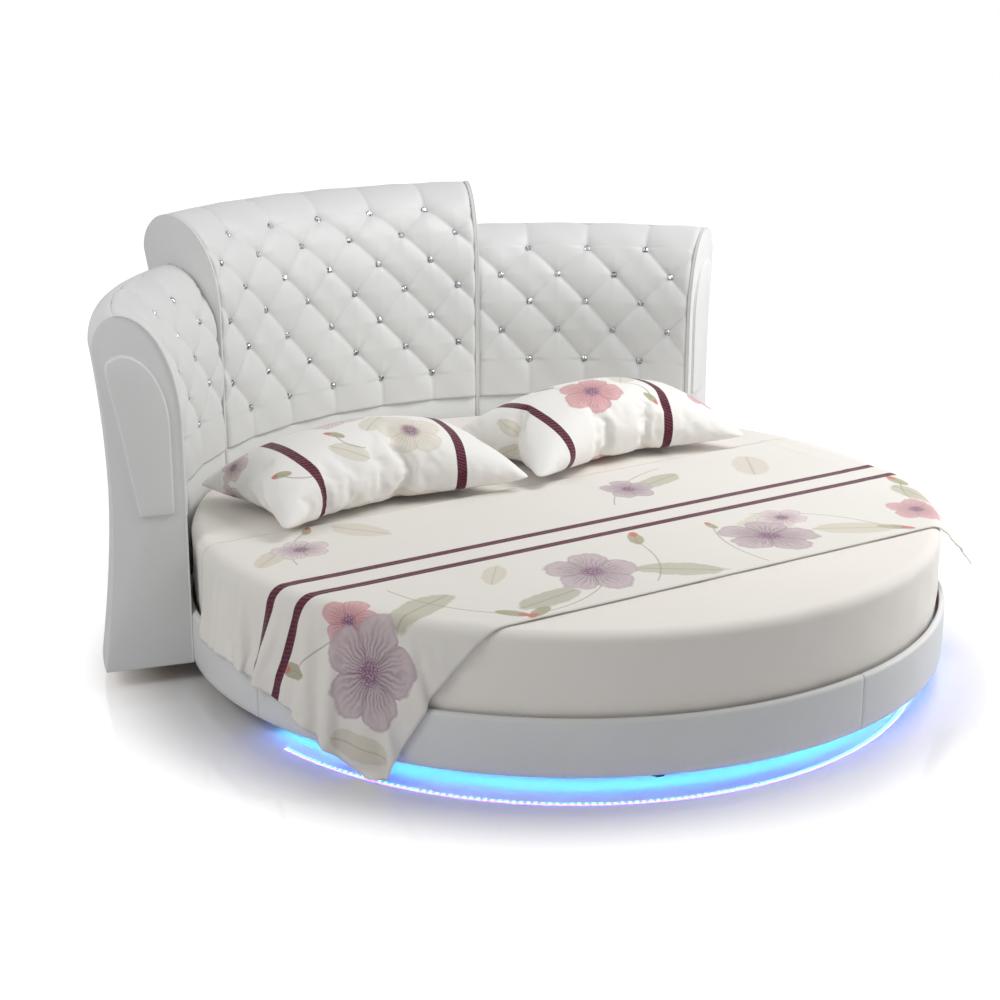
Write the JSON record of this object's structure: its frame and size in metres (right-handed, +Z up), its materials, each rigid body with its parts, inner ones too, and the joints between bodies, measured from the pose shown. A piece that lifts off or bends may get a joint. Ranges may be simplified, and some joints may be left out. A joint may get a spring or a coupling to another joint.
{
  "type": "round bed",
  "caption": "Round bed on a low padded base with a curved tufted headboard in three sections, a mattress, two pillows and a ribboned cover.",
  "frame": {"origin": "on the floor under the centre foot, in the middle of the round base", "axes": "+Y towards the headboard's middle, +Z up, +X to the right seen from the foot"},
  "size_m": [2.287, 2.2738, 1.108],
  "materials": {
    "leatherette": "soft satin, fine grain",
    "plywood": "raw birch plywood",
    "beech": "planed beech",
    "crystal": "cut crystal on a silvered back",
    "zinc_steel": "zinc plated",
    "foot_lacquer": "black lacquer",
    "black_plastic": "moulded",
    "channel_aluminium": "anodised",
    "light_strip": "clear silicone over diodes",
    "ticking": "quilted ticking",
    "sheet_cotton": "cotton satin",
    "cover_cloth": "printed cotton with satin ribbons",
    "pillow_cloth": "printed cotton with satin ribbons"
  },
  "bodies": {
    "bed": {"beam_shoes": "zinc_steel", "bottom_boards": "plywood", "centre_back_cover": "leatherette", "centre_beam": "beech", "centre_buttons": "crystal", "centre_end_covers": "leatherette", "centre_feet": "foot_lacquer", "centre_formers": "plywood", "centre_front_board": "plywood", "centre_lower_band": "leatherette", "centre_tufted_pad": "leatherette", "driver_inlet": "black_plastic", "foot_blocks": "beech", "foot_glides": "black_plastic", "headboard_feet": "black_plastic", "headboard_plates": "zinc_steel", "hoop_joint_plates": "zinc_steel", "inner_hoop_left": "plywood", "inner_hoop_right": "plywood", "left_wing_back_cover": "leatherette", "left_wing_buttons": "crystal", "left_wing_end_pad": "leatherette", "left_wing_end_panel": "leatherette", "left_wing_formers": "plywood", "left_wing_front_board": "plywood", "left_wing_lower_band": "leatherette", "left_wing_tufted_pad": "leatherette", "light_channel": "channel_aluminium", "light_driver": "black_plastic", "light_strip": "light_strip", "outer_feet": "foot_lacquer", "rail_cover_foot_left": "leatherette", "rail_cover_foot_right": "leatherette", "rail_cover_head_left": "leatherette", "rail_cover_head_right": "leatherette", "rail_panel_foot_left": "plywood", "rail_panel_foot_right": "plywood", "rail_panel_head_left": "plywood", "rail_panel_head_right": "plywood", "rail_spacers": "plywood", "right_wing_back_cover": "leatherette", "right_wing_buttons": "crystal", "right_wing_end_pad": "leatherette", "right_wing_end_panel": "leatherette", "right_wing_formers": "plywood", "right_wing_front_board": "plywood", "right_wing_lower_band": "leatherette", "right_wing_tufted_pad": "leatherette", "section_plates": "zinc_steel", "slats_left": "beech", "slats_right": "beech"},
    "mattress": {"mattress": "ticking", "fitted_sheet": "sheet_cotton", "bed_cover": "cover_cloth"},
    "pillow_left": {"pillow_left": "pillow_cloth"},
    "pillow_right": {"pillow_right": "pillow_cloth"}
  },
  "joints": [
    {"name": "mattress_lift", "type": "slide", "parent": "bed", "child": "mattress", "axis": [0, 0, 1], "range_m": [0, 0.95]},
    {"name": "pillow_left_lift", "type": "slide", "parent": "mattress", "child": "pillow_left", "axis": [0, 0, 1], "range_m": [0, 0.72]},
    {"name": "pillow_right_lift", "type": "slide", "parent": "mattress", "child": "pillow_right", "axis": [0, 0, 1], "range_m": [0, 0.72]}
  ]
}
